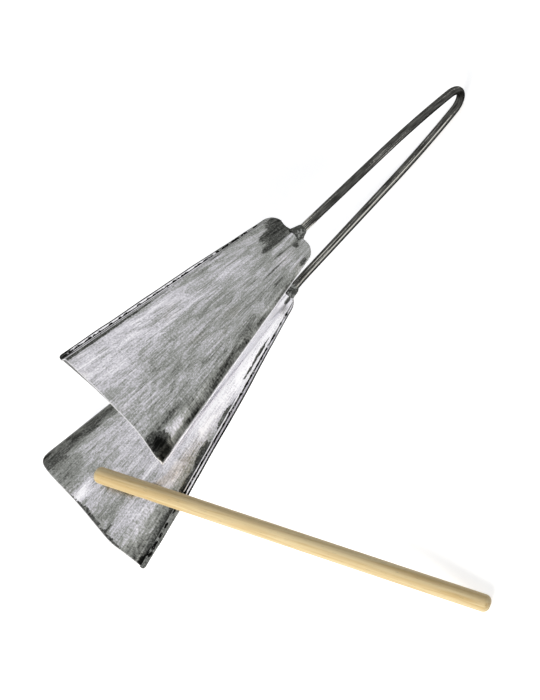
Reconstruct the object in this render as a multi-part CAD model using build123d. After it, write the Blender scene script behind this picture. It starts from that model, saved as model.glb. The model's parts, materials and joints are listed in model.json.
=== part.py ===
from build123d import *
import math
import os

# A double agogo lying as it does on a table: two flattened sheet-steel bells on one bent rod,
# and a wooden beater that leans on the low bell. Millimetres, +Z up, mouths towards -Y.

# Sheet and seam
sheet = 1.0                     # thickness of the steel sheet
ledge = 4.0                     # how far the back flap stands out past the front flap at the seam
crown_thickness = 2.6           # the two flaps pinched together at the crown
seam_slope = 58.0               # each flap slopes this steeply down to the seam, from the middle plane
crease_share = 0.45             # radius between that slope and the flat, as a share of the half depth
shoulder_radius = 9.0           # rounding of the crown's two shoulders, seen on the face
shoulder_margin = 2.0           # the hollow starts this far below the shoulders
outline_margin = 0.5            # the outline that rounds the shoulders stands this far off the fold

# High bell
high_length = 183.5
high_mouth_width = 110.0        # across the mouth, without the ledge
high_mouth_depth = 60.0
high_crown_width = 42.0
high_mouth_corner = 3.0         # rounding of the rim's corner on the folded side
high_rod_offset = 2.6           # the rod sits this far from the crown's middle, towards the fold

# Low bell
low_length = 224.0
low_mouth_width = 121.0
low_mouth_depth = 62.0
low_crown_width = 27.0
low_mouth_corner = 16.0
low_rod_offset = -7.4           # here the rod sits nearer the seam

# Handle rod
rod_diameter = 6.35
bend_radius = 12.6              # centreline of the tight hairpin bend
bend_sweep = 77.2               # turn of the tight bend on each side of the apex
arm_radius = 450.0              # the arms straighten along a gentle curve
arm_sweep = 9.1
front_run = 87.0                # straight length to the high crown
rear_run = 95.5                 # straight length to the flare above the low crown
flare_radius = 80.0             # small outward bend above the low crown
flare_sweep = 6.2
flare_margin = 3.0              # straight rod left between the flare and the top of the weld
rod_insert = 20.0               # length of rod held inside each crown
rod_gap = 0.05                  # clearance between the rod and what grips it

# Welds
crown_weld_height = 7.0         # how far the weld climbs the rod
crown_weld_wrap = 2.5           # how far it runs down over the crown
crown_weld_spread = 7.5         # half its width along the crown's edge
crown_weld_throat = 0.5         # thickness of weld left where it thins out
bead_radius = 1.9
bead_length = 4.5
bead_unevenness = 0.35          # how much the beads differ in length
bead_pitch = 11.5
bead_inset = 7.0                # first and last bead from the shoulder and from the mouth

# Beater
beater_diameter = 12.7
beater_length = 304.8
beater_end_radius = 5.0
beater_heading = 23.75          # turn from +X towards the handle, seen from above
beater_tip_inset = 29.8         # the tip's distance behind the low bell's mouth
beater_tip_side = 0.0           # the tip's place across the low bell
beater_gap = 0.3                # between the beater and the shoulder that it leans on

rod_radius = rod_diameter / 2
grip_radius = rod_radius + rod_gap
socket_radius = grip_radius + sheet
beater_radius = beater_diameter / 2


class Bell:
    """Sizes of one bell. Its own frame has Z from crown to mouth, X across and the seam on -X."""

    def __init__(self, length, mouth_width, mouth_depth, crown_width, mouth_corner, rod_offset, front):
        self.length = length
        self.mouth = (mouth_width, mouth_depth / 2)
        self.crown = (crown_width, crown_thickness / 2)
        self.mouth_corner = mouth_corner
        self.middle = -rod_offset
        self.front = front      # +1 where the front flap is on +Y, -1 where it is on -Y

    def at(self, station):
        """Width and half depth at a distance from the crown."""
        share = station / self.length
        return [c + (m - c) * share for c, m in zip(self.crown, self.mouth)]

    def seam_x(self, station):
        """Place where the two flaps meet."""
        return self.middle - self.at(station)[0] / 2

    def fold_x(self, station):
        """Outermost place of the folded side."""
        return self.middle + self.at(station)[0] / 2


high = Bell(high_length, high_mouth_width, high_mouth_depth, high_crown_width,
            high_mouth_corner, high_rod_offset, 1)
low = Bell(low_length, low_mouth_width, low_mouth_depth, low_crown_width,
           low_mouth_corner, low_rod_offset, -1)
slope_angle = math.radians(seam_slope)


def crease(bell, station, wall):
    """Inside a wall: the seam's place, half depth, radius of the crease and where it meets the flat."""
    half = bell.at(station)[1]
    seam = bell.seam_x(station)
    radius = crease_share * half
    flat_start = seam + half / math.tan(slope_angle) + radius * math.tan(slope_angle / 2)
    inner_radius = max(radius - wall, radius / 4)
    return seam + wall / math.sin(slope_angle), half - wall, inner_radius, flat_start


def section(bell, station, wall):
    """One cross-section, inside a wall: rounded on the fold side, pinched together at the seam."""
    seam, half, radius, flat_start = crease(bell, station, wall)
    fold_start = bell.fold_x(station) - wall - half
    centre = (flat_start, half - radius)
    turned = (flat_start - radius * math.sin(slope_angle), half - radius + radius * math.cos(slope_angle))
    outline = [
        Line((seam, 0), turned),
        CenterArc(centre, radius, 90 + seam_slope, -seam_slope),
        Line((flat_start, half), (fold_start, half)),
        CenterArc((fold_start, 0), half, 90, -90),
        CenterArc((fold_start, 0), half, 0, -90),
        Line((fold_start, -half), (flat_start, -half)),
        CenterArc((centre[0], -centre[1]), radius, 270, -seam_slope),
        Line((turned[0], -turned[1]), (seam, 0)),
    ]
    return Plane.XY.offset(station) * make_face(outline)


def on_face(outline, depth):
    """A flat drawing on the bell's middle plane, with Y along the bell, thickened both ways."""
    return extrude(Plane.XZ * outline, depth, both=True)


def face_prism(bell):
    """The bell's outline seen on its face, ledge and rounded shoulders included."""
    end = bell.length
    corners = [
        (bell.seam_x(0) - ledge, 0),
        (bell.fold_x(0) + outline_margin, 0),
        (bell.fold_x(end) + outline_margin, end),
        (bell.seam_x(end) - ledge, end),
    ]
    outline = make_face(Polyline(*corners, close=True))
    shoulders = outline.vertices().sort_by(Axis.Y)[:2]
    outline = fillet(shoulders, shoulder_radius)
    rim_corner = outline.vertices().sort_by(Axis.Y)[-2:].sort_by(Axis.X)[-1]
    return on_face(fillet(rim_corner, bell.mouth_corner), bell.mouth[1] + sheet)


def seam_ledge(bell):
    """The edge of the back flap, standing out past the seam in the middle plane."""
    end = bell.length
    rooted = sheet / 2
    corners = [
        (bell.seam_x(0) - ledge, 0),
        (bell.seam_x(0) + rooted, 0),
        (bell.seam_x(end) + rooted, end),
        (bell.seam_x(end) - ledge, end),
    ]
    return on_face(make_face(Polyline(*corners, close=True)), sheet / 2)


def wedge(bell):
    """The bell's outside, filled."""
    return loft([section(bell, 0, 0), section(bell, bell.length, 0)], ruled=True)


def bell_shell(bell):
    """The folded sheet: hollow wedge, ledge at the seam and a ridge where it wraps the rod."""
    hollow_start = shoulder_radius + shoulder_margin
    past_mouth = bell.length + sheet
    ridge_length = rod_insert + sheet
    inside = loft([section(bell, hollow_start, sheet), section(bell, past_mouth, sheet)], ruled=True)
    ridge = Pos(0, 0, ridge_length / 2) * Cylinder(socket_radius, ridge_length)
    bore = Pos(0, 0, rod_insert / 2) * Cylinder(grip_radius, rod_insert)
    body = (wedge(bell) + seam_ledge(bell)) & face_prism(bell)
    return body + ridge - inside - bore


def seam_welds(bell):
    """Tack welds in the corner between the ledge and the front flap, a little uneven in length."""
    first = shoulder_radius + bead_inset
    last = bell.length - bead_inset
    count = int((last - first) / bead_pitch) + 1
    taper = math.degrees(math.atan2(bell.seam_x(bell.length) - bell.seam_x(0), bell.length))
    filled = wedge(bell)
    beads = []
    for number in range(count):
        station = first + (last - first) * number / (count - 1)
        straight = bead_length * (1 + bead_unevenness * math.sin(2.4 * number))
        bead = Cylinder(bead_radius, straight)
        bead += Pos(0, 0, straight / 2) * Sphere(bead_radius)
        bead += Pos(0, 0, -straight / 2) * Sphere(bead_radius)
        reach = straight + 2 * bead_radius
        over_ledge = Pos(0, bell.front * reach / 2, 0) * Box(reach, reach, reach)
        place = Pos(bell.seam_x(station), bell.front * sheet / 2, station) * Rot(0, taper, 0)
        beads.append(place * (bead & over_ledge) - filled)
    return beads


def crown_weld(bell, body):
    """Fillet of weld metal round the rod, saddled over the crown's edge."""
    thin = crown_weld_throat
    rings = [
        (crown_weld_wrap, crown_weld_spread, socket_radius + thin),
        (0, crown_weld_spread - thin, socket_radius + thin),
        (-crown_weld_height * 0.4, socket_radius + 2 * thin, socket_radius),
        (-crown_weld_height, grip_radius + thin, grip_radius + thin),
    ]
    blob = loft([Plane.XY.offset(z) * Ellipse(across, deep) for z, across, deep in rings], ruled=True)
    hole = Cylinder(grip_radius, 3 * (crown_weld_height + crown_weld_wrap))
    return blob - body - hole


# The hairpin is drawn flat, apex at the origin, X towards the mouths and Y towards the high bell
hairpin_plane = Plane(origin=(0, 0, 0), x_dir=(0, -1, 0), z_dir=(-1, 0, 0))


def arm(side, straight_run):
    """One side of the hairpin from its apex: tight bend, gentle curve, straight run."""
    tight = JernArc((0, 0), (0, side), bend_radius, -side * bend_sweep)
    gentle = JernArc(tight @ 1, tight % 1, arm_radius, -side * arm_sweep)
    run = Line(gentle @ 1, gentle @ 1 + (gentle % 1) * straight_run)
    return [tight, gentle, run]


def inserted(lines):
    """The arm's lines with the length that goes into the crown."""
    crown, axis = lines[-1] @ 1, lines[-1] % 1
    return lines + [Line(crown, crown + axis * rod_insert)]


front_lines = arm(1, front_run)
rear_lines = arm(-1, rear_run)
flare = JernArc(rear_lines[-1] @ 1, rear_lines[-1] % 1, flare_radius, -flare_sweep)
stub = Line(flare @ 1, flare @ 1 + (flare % 1) * (crown_weld_height + flare_margin))
rear_lines += [flare, stub]
high_crown, high_axis = front_lines[-1] @ 1, front_lines[-1] % 1
low_crown, low_axis = rear_lines[-1] @ 1, rear_lines[-1] % 1


def table_slope():
    """Slope in the flat drawing of the line that the low bell's back rim and the bend rest on."""
    back = Vector(low_axis.Y, -low_axis.X)
    rim = low_crown + low_axis * low_length + back * (low_mouth_depth / 2)
    slope = 90.0
    for line in rear_lines:
        for step in range(201):
            tangent = line % (step / 200)
            underside = line @ (step / 200) + Vector(tangent.Y, -tangent.X) * rod_radius
            reach = rim - underside
            slope = min(slope, math.degrees(math.atan2(-reach.Y, reach.X)))
    height = (Rot(-slope, 0, 0) * Pos(hairpin_plane.from_local_coords(rim))).position.Z
    return slope, height


slope, rim_height = table_slope()
to_table = Pos(0, 0, -rim_height) * Rot(-slope, 0, 0)


def bell_place(crown, axis, across):
    """Where a bell's own frame goes on the table."""
    origin = hairpin_plane.from_local_coords(crown)
    direction = hairpin_plane.from_local_coords(axis)
    return to_table * Plane(origin=origin, x_dir=across, z_dir=direction).location


high_place = bell_place(high_crown, high_axis, (1, 0, 0))
low_place = bell_place(low_crown, low_axis, (-1, 0, 0))


def handle_rod():
    """Round rod swept along the hairpin, from inside the high crown to inside the low crown."""
    lines = inserted(front_lines) + inserted(rear_lines)
    path = Wire([hairpin_plane * line for line in lines])
    return sweep(Plane(origin=path @ 0, z_dir=path % 0) * Circle(rod_radius), path=path)


def front_points(bell, place):
    """Points over a bell's front near its mouth: up the slope, round the crease and across the flat."""
    rows, steps = 160, 12
    points = []
    for row in range(rows + 1):
        station = bell.length * (0.5 + 0.5 * row / rows)
        seam, half, radius, flat_start = crease(bell, station, 0)
        flat = bell.fold_x(station) - half - flat_start
        outline = [(seam, 0)]
        for step in range(steps + 1):
            angle = slope_angle * (1 - step / steps)
            outline.append((flat_start - radius * math.sin(angle), half - radius + radius * math.cos(angle)))
        outline += [(flat_start + flat * step / steps, half) for step in range(1, steps + 1)]
        points += [(place * Pos(x, bell.front * y, station)).position for x, y in outline]
    return points


def beater_place():
    """The beater leans on the low bell's front, with its butt on the table."""
    heading = math.radians(beater_heading)
    along = Vector(math.cos(heading), math.sin(heading), 0)
    beside = Vector(-math.sin(heading), math.cos(heading), 0)
    mouth = (low_place * Pos(low.middle, 0, low.length)).position
    tip = Vector(mouth.X + beater_tip_side, mouth.Y + beater_tip_inset, 0)
    reach = beater_radius + beater_gap
    under = [((p - tip).dot(along), (p - tip).dot(beside), p.Z) for p in front_points(low, low_place)]
    under = [(a, math.sqrt(reach**2 - b**2), z) for a, b, z in under if abs(b) < reach and a > 0]

    def butt_height(lean):
        """Height of the butt's centre when its rounded edge touches the table."""
        straight = (beater_radius - beater_end_radius) * math.cos(lean)
        return beater_end_radius * (1 - math.sin(lean)) + straight

    flat, steep = 0.0, math.radians(45)
    for _ in range(40):
        lean = (flat + steep) / 2
        butt, run = butt_height(lean), beater_length * math.cos(lean)
        room = min((butt + (run - a) * math.tan(lean) - z) * math.cos(lean) - need for a, need, z in under)
        if room < 0:
            flat = lean
        else:
            steep = lean
    origin = tip + along * run + Vector(0, 0, butt)
    direction = Vector(0, 0, math.sin(lean)) - along * math.cos(lean)
    return Plane(origin=origin, x_dir=beside, z_dir=direction).location


def beater():
    """Wooden dowel with rounded ends, from its butt at the origin along +Z."""
    dowel = Pos(0, 0, beater_length / 2) * Cylinder(beater_radius, beater_length)
    return fillet(dowel.edges().filter_by(GeomType.CIRCLE), beater_end_radius)


high_shell = bell_shell(high)
low_shell = bell_shell(low)
nodes = {
    "high_bell_shell": [high_place * high_shell],
    "high_seam_welds": [high_place * bead for bead in seam_welds(high)],
    "high_crown_weld": [high_place * crown_weld(high, high_shell)],
    "low_bell_shell": [low_place * low_shell],
    "low_seam_welds": [low_place * bead for bead in seam_welds(low)],
    "low_crown_weld": [low_place * crown_weld(low, low_shell)],
    "handle_rod": [to_table * handle_rod()],
    "beater": [beater_place() * beater()],
}

# The origin is the middle of the footprint, on the table
extent = Compound([solid for solids in nodes.values() for solid in solids]).bounding_box()
centred = Pos(-extent.center().X, -extent.center().Y, 0)
os.makedirs("parts", exist_ok=True)
for name, solids in nodes.items():
    export_step(Compound([centred * solid for solid in solids]), f"parts/{name}.step")

hinge = (centred * to_table * Pos(hairpin_plane.from_local_coords(Vector(bend_radius, 0)))).position
print("bend centre", [round(v, 3) for v in hinge], "table slope", round(slope, 3))
for name, place in (("high", high_place), ("low", low_place)):
    at = centred * place
    print(name, "crown", [round(v, 3) for v in at.position], "axis", [round(v, 5) for v in Plane(at).z_dir])
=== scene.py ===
"""Double agogo bell with a wooden beater: hand-folded bells, welds, hairpin rod and stage."""

import json
import math

import bpy
from bpy.props import FloatProperty, FloatVectorProperty, IntProperty, PointerProperty
from bpy.types import Operator, Panel, PropertyGroup
from mathutils import Matrix, Vector, noise


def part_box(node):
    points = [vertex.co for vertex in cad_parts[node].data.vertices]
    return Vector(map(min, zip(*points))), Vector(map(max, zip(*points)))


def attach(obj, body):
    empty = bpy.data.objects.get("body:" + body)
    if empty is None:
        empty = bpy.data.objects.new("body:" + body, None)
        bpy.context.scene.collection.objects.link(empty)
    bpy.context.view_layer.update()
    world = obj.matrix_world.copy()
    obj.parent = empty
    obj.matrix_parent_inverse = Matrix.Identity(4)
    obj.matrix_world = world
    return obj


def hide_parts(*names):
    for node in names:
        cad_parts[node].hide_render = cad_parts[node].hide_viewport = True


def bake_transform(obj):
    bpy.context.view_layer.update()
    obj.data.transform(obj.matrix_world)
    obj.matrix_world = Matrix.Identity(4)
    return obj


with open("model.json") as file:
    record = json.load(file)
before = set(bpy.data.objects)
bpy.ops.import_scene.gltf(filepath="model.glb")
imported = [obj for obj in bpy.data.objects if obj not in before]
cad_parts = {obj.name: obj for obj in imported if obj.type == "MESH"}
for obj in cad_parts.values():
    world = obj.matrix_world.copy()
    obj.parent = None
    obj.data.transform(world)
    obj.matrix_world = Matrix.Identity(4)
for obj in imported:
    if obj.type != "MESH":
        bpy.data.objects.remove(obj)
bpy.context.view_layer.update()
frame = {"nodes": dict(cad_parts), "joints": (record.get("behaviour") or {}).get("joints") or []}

bl_info = {
    "name": "Double agogo bell",
    "version": (1, 0, 0),
    "blender": (4, 5, 0),
    "location": "3D View > Sidebar > Agogo",
    "description": "Dresses the double agogo: sheet-steel bells, welds, rod, beater and stage",
    "category": "Object",
}

HINGE = Vector(frame["joints"][0]["pos_m"])


def linear(hex_colour):
    """sRGB hex to linear red, green and blue."""
    channels = [int(hex_colour[i:i + 2], 16) / 255 for i in (1, 3, 5)]
    return [c / 12.92 if c <= 0.04045 else ((c + 0.055) / 1.055) ** 2.4 for c in channels]


def size(name, description, millimetres, least=0.0):
    """A length that a user may change, kept in metres."""
    return FloatProperty(name=name, description=description, default=millimetres / 1000,
                         min=least, precision=5, unit="LENGTH")


def turn(name, description, degrees):
    """An angle, kept in radians."""
    return FloatProperty(name=name, description=description, default=math.radians(degrees),
                         unit="ROTATION")


def tint(name, description, hex_colour):
    """A colour that a user may change."""
    return FloatVectorProperty(name=name, description=description, subtype="COLOR", size=3,
                               min=0.0, max=1.0, default=linear(hex_colour))


class AgogoBellSizes(PropertyGroup):
    """Sizes of one bell, as the high bell has them."""

    length: size("Length", "From the crown to the mouth", 183.5)
    mouth_width: size("Mouth width", "Across the mouth, without the ledge", 110)
    mouth_depth: size("Mouth depth", "From front to back at the mouth", 60)
    crown_width: size("Crown width", "Across the pinched end", 42)
    mouth_corner: size("Mouth corner", "Rounding of the rim's corner on the folded side", 2.4)
    rod_offset: size("Rod offset", "The rod's place from the crown's middle, to the fold", 2.6, least=-1.0)
    rim_skew: size("Rim skew", "How far the hand-cut rim runs past the mouth at the seam", 0.6, least=-1.0)
    rim_reach: size("Rim reach", "How far it runs past the mouth at the fold", 4.4, least=-1.0)
    fold_bulge: size("Fold bulge", "How far the fold swells past the straight side", 2.8, least=-1.0)
    bead_offset: size("Bead offset", "From the seam out to the middle of the tack welds", 1.3)
    weld_reach: size("Weld reach", "Half the width of the crown's weld", 6.9)


# Sizes of the low bell, in metres
LOW_BELL = {
    "length": 0.224, "mouth_width": 0.121, "mouth_depth": 0.062, "crown_width": 0.027,
    "mouth_corner": 0.016, "rod_offset": -0.0074, "rim_skew": 0.0056, "rim_reach": 0.0,
    "fold_bulge": 0.0, "bead_offset": 0.0008, "weld_reach": 0.0052,
}


class AgogoSizes(PropertyGroup):
    """Sizes that both bells and the handle share."""

    sheet: size("Sheet", "Thickness of the steel sheet", 1.0)
    ledge: size("Ledge", "How far the back flap stands out at the seam", 4.0)
    crown_thickness: size("Crown thickness", "The two flaps pinched together", 2.6)
    seam_slope: turn("Seam slope", "How steeply each flap slopes down to the seam", 58)
    shoulder_radius: size("Shoulder radius", "Rounding of the crown's shoulders", 9)
    wave: size("Wave", "How far the hand-folded sheet swells and sinks", 0.45)
    back_cut: size("Back cut", "How much shorter the back flap is at the mouth", 3.4)
    crown_dip: size("Crown dip", "How far the pinched edge dips on the seam side of the rod", 1.2)
    bead_length: size("Bead length", "Length of one tack weld", 6.4)
    bead_radius: size("Bead radius", "Half the width of one tack weld", 0.75)
    bead_pitch: size("Bead pitch", "Spacing of the tack welds", 8.2)
    bead_seed: IntProperty(name="Bead seed", description="Changes how the tack welds differ", default=7)
    rod_diameter: size("Rod diameter", "Quarter-inch bar", 6.35)
    bend_radius: size("Bend radius", "Centreline of the hairpin's tight bend", 12.6)
    bend_sweep: turn("Bend sweep", "Turn of the tight bend on each side of the apex", 77.2)
    arm_radius: size("Arm radius", "Gentle curve of the arms", 450)
    arm_sweep: turn("Arm sweep", "Turn of that curve", 9.1)
    front_run: size("Front run", "Straight rod up to the high crown", 87)
    rear_run: size("Rear run", "Straight rod up to the flare", 95.5)
    flare_radius: size("Flare radius", "Small bend above the low crown", 80)
    flare_sweep: turn("Flare sweep", "Turn of that bend", 6.2)
    stub: size("Stub", "Straight rod between the flare and the low crown", 10)
    rod_insert: size("Rod insert", "Rod held inside each crown", 20)
    table_slope: turn("Table slope", "Tilt of the hairpin's middle plane on the table", 11.992)
    weld_height: size("Weld height", "How far a crown's weld climbs the rod", 7)


class AgogoFinish(PropertyGroup):
    """Colours of the finishes."""

    # the light steel colours also paint the sheet's highlights and glints, through its tone
    steel_bright: tint("Bright steel", "Cleanest plating", "#F8F7FA")
    steel_light: tint("Light steel", "Clean plated sheet", "#C9C7CE")
    steel_grey: tint("Grey steel", "Duller zones of the sheet", "#989A96")
    steel_shadow: tint("Shaded steel", "Deepest streaks and the thinner soot", "#565754")
    # the dark steel colours also paint the sheet's shade and dark reflections by the folds, seam and crown
    steel_dark: tint("Soot", "Heat-darkened sheet by the folds and welds", "#242523")
    steel_black: tint("Thick soot", "Blackest spots", "#0E0F0E")
    steel_tint: tint("Straw tint", "Faint heat colour", "#B7A67C")
    inside_dull: tint("Inside", "Unpolished inside of the bells", "#77787A")
    bead_dark: tint("Bead scale", "Burnt scale on the tack welds", "#161614")
    bead_bright: tint("Bead specks", "Bare specks of the tack welds", "#D8D7D9")
    weld_dark: tint("Weld scale", "Scale on the crown welds", "#454643")
    weld_bright: tint("Weld metal", "Bare metal of the crown welds", "#8E908D")
    # the front arm and the bend keep the bar's dark colour all over; the rear arm shows it between its
    # painted highlight lines
    rod_dark: tint("Rod scale", "Mill scale left on the front arm", "#31312F")
    rod_grey: tint("Rod grey", "Thinner, drawn-out scale", "#62625F")
    # the bright bar colour paints the rear arm's highlight lines, and the worn patch where the front arm
    # meets its weld
    rod_bright: tint("Bare rod", "Drawn bar worn bright", "#D2D0C8")
    wood_light: tint("Wood", "Sapwood between the grain lines", "#EEDAAD")
    wood_grain: tint("Wood grain", "Grain lines", "#DBBF8A")
    floor: tint("Floor", "Plain pale floor", "#F7F7F7")


# Small sizes of the hand work, in metres
LIP = 0.0014  # top of the front flap's cut edge, above the middle of the seam
LIP_STEP = 0.0003  # how far that cut edge stands out from the seam
LEDGE_LEAST = 0.0008  # least width of the ledge, at the shoulder
LEDGE_TAPER = 0.09  # from the crown to where the ledge has its full width
LEDGE_CORNER = 0.003  # rounding of the ledge at the mouth
LEDGE_UNEVEN = 0.0004
LEDGE_BEVEL = 0.0002
RIM_BEVEL = 0.0003
RIM_WAVES = 0.0005
RIM_ZONE = 0.05  # how far from the mouth the cut of the rim is felt
RIDGE_BLEND = 0.0012  # softness between a flap and the ridge over the rod
RIDGE_END = (-0.006, 0.007)  # where the ridge fades, from the end of the rod
FLAT_LEAST = 0.001  # least width of a flat front
CREASE_ROUND = 0.45  # radius of the crease, as a share of half the depth
# The dip of the crown's edge: its middle from the rod, half its width, and its length along the bell
DIP_MIDDLE, DIP_WIDTH, DIP_LENGTH = -0.0105, 0.005, 0.02

# Points of a cross-section: up the seam's slope, round the crease, over the flat front and round the fold
SLOPE, CREASE, FLAT, FOLD = 5, 6, 66, 10
FRONT = SLOPE + CREASE + FLAT + FOLD
WALL = 2 * FRONT - 1
AROUND = 40  # points round the rod and round a crown's weld


# Mesh helpers


def ease(value, start, end):
    """Smooth step from 0 at start to 1 at end."""
    share = min(1.0, max(0.0, (value - start) / (end - start)))
    return share * share * (3 - 2 * share)


def spread(start, end, count):
    """Evenly spaced values with both ends."""
    return [start + (end - start) * i / (count - 1) for i in range(count)]


def corner_inset(distance, radius):
    """How far a rounded corner stands back, at a distance from the corner."""
    reach = max(0.0, radius - distance)
    return radius - math.sqrt(max(0.0, radius * radius - reach * reach))


def hump(value, centre, width):
    """A soft hump of height 1."""
    return math.exp(-((value - centre) / width) ** 2)


def mesh_object(name, points, faces, material, attributes=None):
    """A smooth mesh object at the origin, with point attributes for its material."""
    mesh = bpy.data.meshes.new(name)
    mesh.from_pydata(points, [], faces)
    for label, values in (attributes or {}).items():
        if isinstance(values[0], float):
            layer = mesh.attributes.new(label, "FLOAT", "POINT")
            layer.data.foreach_set("value", values)
        else:
            layer = mesh.attributes.new(label, "FLOAT_VECTOR", "POINT")
            layer.data.foreach_set("vector", [c for value in values for c in value])
    mesh.validate()
    mesh.polygons.foreach_set("use_smooth", [True] * len(mesh.polygons))
    mesh.materials.append(material)
    made = bpy.data.objects.new(name, mesh)
    bpy.context.scene.collection.objects.link(made)
    return made


def ring_faces(first, second, count, closed=True):
    """Quads between two rings of points that start at two indices."""
    pairs = [(i, (i + 1) % count) for i in range(count if closed else count - 1)]
    return [(first + a, first + b, second + b, second + a) for a, b in pairs]


def tube_faces(rings):
    """Quads between rings of points round a bar, and a face at each end."""
    faces = []
    for ring in range(rings - 1):
        faces += ring_faces(ring * AROUND, (ring + 1) * AROUND, AROUND)
    last = (rings - 1) * AROUND
    return faces + [tuple(reversed(range(AROUND))), tuple(range(last, last + AROUND))]


def end_faces(first):
    """Closes a cross-section that starts at an index, from its front to its back."""
    faces = []
    for i in range(FRONT - 1):
        front, back = first + i, first + WALL - 2 - i
        quad = (front, front + 1, back, back + 1)
        faces.append(quad if front + 1 != back else (front, front + 1, back + 1))
    return faces


def flipped(faces):
    """The same faces, turned to look the other way."""
    return [tuple(reversed(face)) for face in faces]


# Where the pieces are


def hairpin_direction(x, y, sizes):
    """World direction of a direction in the hairpin's drawing: X to the mouths, Y to the high bell."""
    return Matrix.Rotation(-sizes.table_slope, 3, "X") @ Vector((0, -x, y))


def hairpin_point(x, y, sizes):
    """World place of a point of that drawing, which has its apex at 0."""
    return HINGE + hairpin_direction(x - sizes.bend_radius, y, sizes)


def arm_path(side, sizes):
    """Points of one arm from the apex, as (x, y, heading, length so far), then where its crown is."""
    # runs as (radius or None, turn or length, which way it turns, steps)
    runs = [(sizes.bend_radius, sizes.bend_sweep, -1, 26), (sizes.arm_radius, sizes.arm_sweep, -1, 12)]
    if side > 0:
        runs.append((None, sizes.front_run, 0, 24))
    else:
        runs += [(None, sizes.rear_run, 0, 24), (sizes.flare_radius, sizes.flare_sweep, 1, 6),
                 (None, sizes.stub, 0, 4)]
    runs.append((None, sizes.rod_insert, 0, 4))
    x = y = travelled = 0.0
    heading = math.pi / 2
    path = [(x, y, heading, travelled)]
    for radius, amount, way, count in runs:
        crown = (x, side * y, side * heading)
        half_turn = way * amount / count / 2
        step = 2 * radius * math.sin(amount / count / 2) if radius else amount / count
        for _ in range(count):
            heading += half_turn
            x += step * math.cos(heading)
            y += step * math.sin(heading)
            heading += half_turn
            travelled += step
            path.append((x, y, heading, travelled))
    return [(px, side * py, side * ph, pl) for px, py, ph, pl in path], crown


class Bell:
    """One bell in its own frame: X across, seam on -X, H out of the front, S from crown to mouth."""

    def __init__(self, sizes, own, side):
        self.common = sizes
        self.own = own
        x, y, heading = arm_path(side, sizes)[1]
        self.crown = hairpin_point(x, y, sizes)
        self.axis = hairpin_direction(math.cos(heading), math.sin(heading), sizes)
        self.across = Vector((side, 0, 0))
        self.out = side * self.axis.cross(self.across)
        self.mirrored = side < 0
        self.middle = -own.rod_offset
        self.seed = 3.0 if side > 0 else 11.0
        self.wrap = sizes.rod_diameter / 2 + sizes.sheet

    def world(self, x, h, s):
        return self.crown + self.across * x + self.out * h + self.axis * s

    def at(self, s):
        """Seam, fold and half depth at a station. The fold swells most at the mouth."""
        share = s / self.own.length
        width = self.own.crown_width + (self.own.mouth_width - self.own.crown_width) * share
        thick = self.common.crown_thickness
        half = (thick + (self.own.mouth_depth - thick) * share) / 2
        bulge = self.own.fold_bulge * (0.4 + 0.6 * share)
        return self.middle - width / 2, self.middle + width / 2 + bulge, half

    def ledge_edge(self, s):
        """Outer edge of the ledge, uneven, narrower at the crown, rounded at the shoulder and the mouth."""
        uneven = LEDGE_UNEVEN * noise.noise(Vector((s * 60, self.seed, 0.5)))
        rounding = corner_inset(s, self.common.shoulder_radius)
        rounding += corner_inset(self.own.length - s, LEDGE_CORNER)
        width = self.common.ledge * (0.6 + 0.4 * ease(s, 0.0, LEDGE_TAPER))
        return self.at(s)[0] - width + rounding + uneven

    def wave(self, x, s, side):
        """Swells of about 40 by 60 mm with smaller ones, none at the crown, the seam and the fold."""
        seam, fold, _ = self.at(s)
        room = ease(s, 0.012, 0.06) * ease(x - seam, 0.004, 0.02) * ease(fold - x, 0.0, 0.016)
        swell = noise.noise(Vector((x * 26, s * 17, self.seed + side)))
        swell += 0.45 * noise.noise(Vector((x * 60, s * 33, self.seed - side)))
        return self.common.wave * swell * room

    def ridge(self, x, s):
        """Height of the sheet where it wraps the end of the rod."""
        start, end = (self.common.rod_insert + shift for shift in RIDGE_END)
        return (1 - ease(s, start, end)) * math.sqrt(max(0.0, self.wrap * self.wrap - x * x))

    def rim_shift(self, x):
        """How far the hand-cut rim runs past the square mouth, at the seam and at the fold."""
        seam, fold, _ = self.at(self.own.length)
        share = min(1.0, max(0.0, (x - seam) / (fold - seam)))
        return self.own.rim_skew * ((1 - share) ** 4 - 0.15 * share) + self.own.rim_reach * share ** 10

    def rim_drop(self, x):
        """How far the rim stands back, with its rounded corner on the folded side and its small waves."""
        fold = self.at(self.own.length)[1]
        waves = RIM_WAVES * (1 + noise.noise(Vector((x * 45, self.seed, 2.5))))
        return corner_inset(fold - x, self.own.mouth_corner) + waves - self.rim_shift(x)
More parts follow.
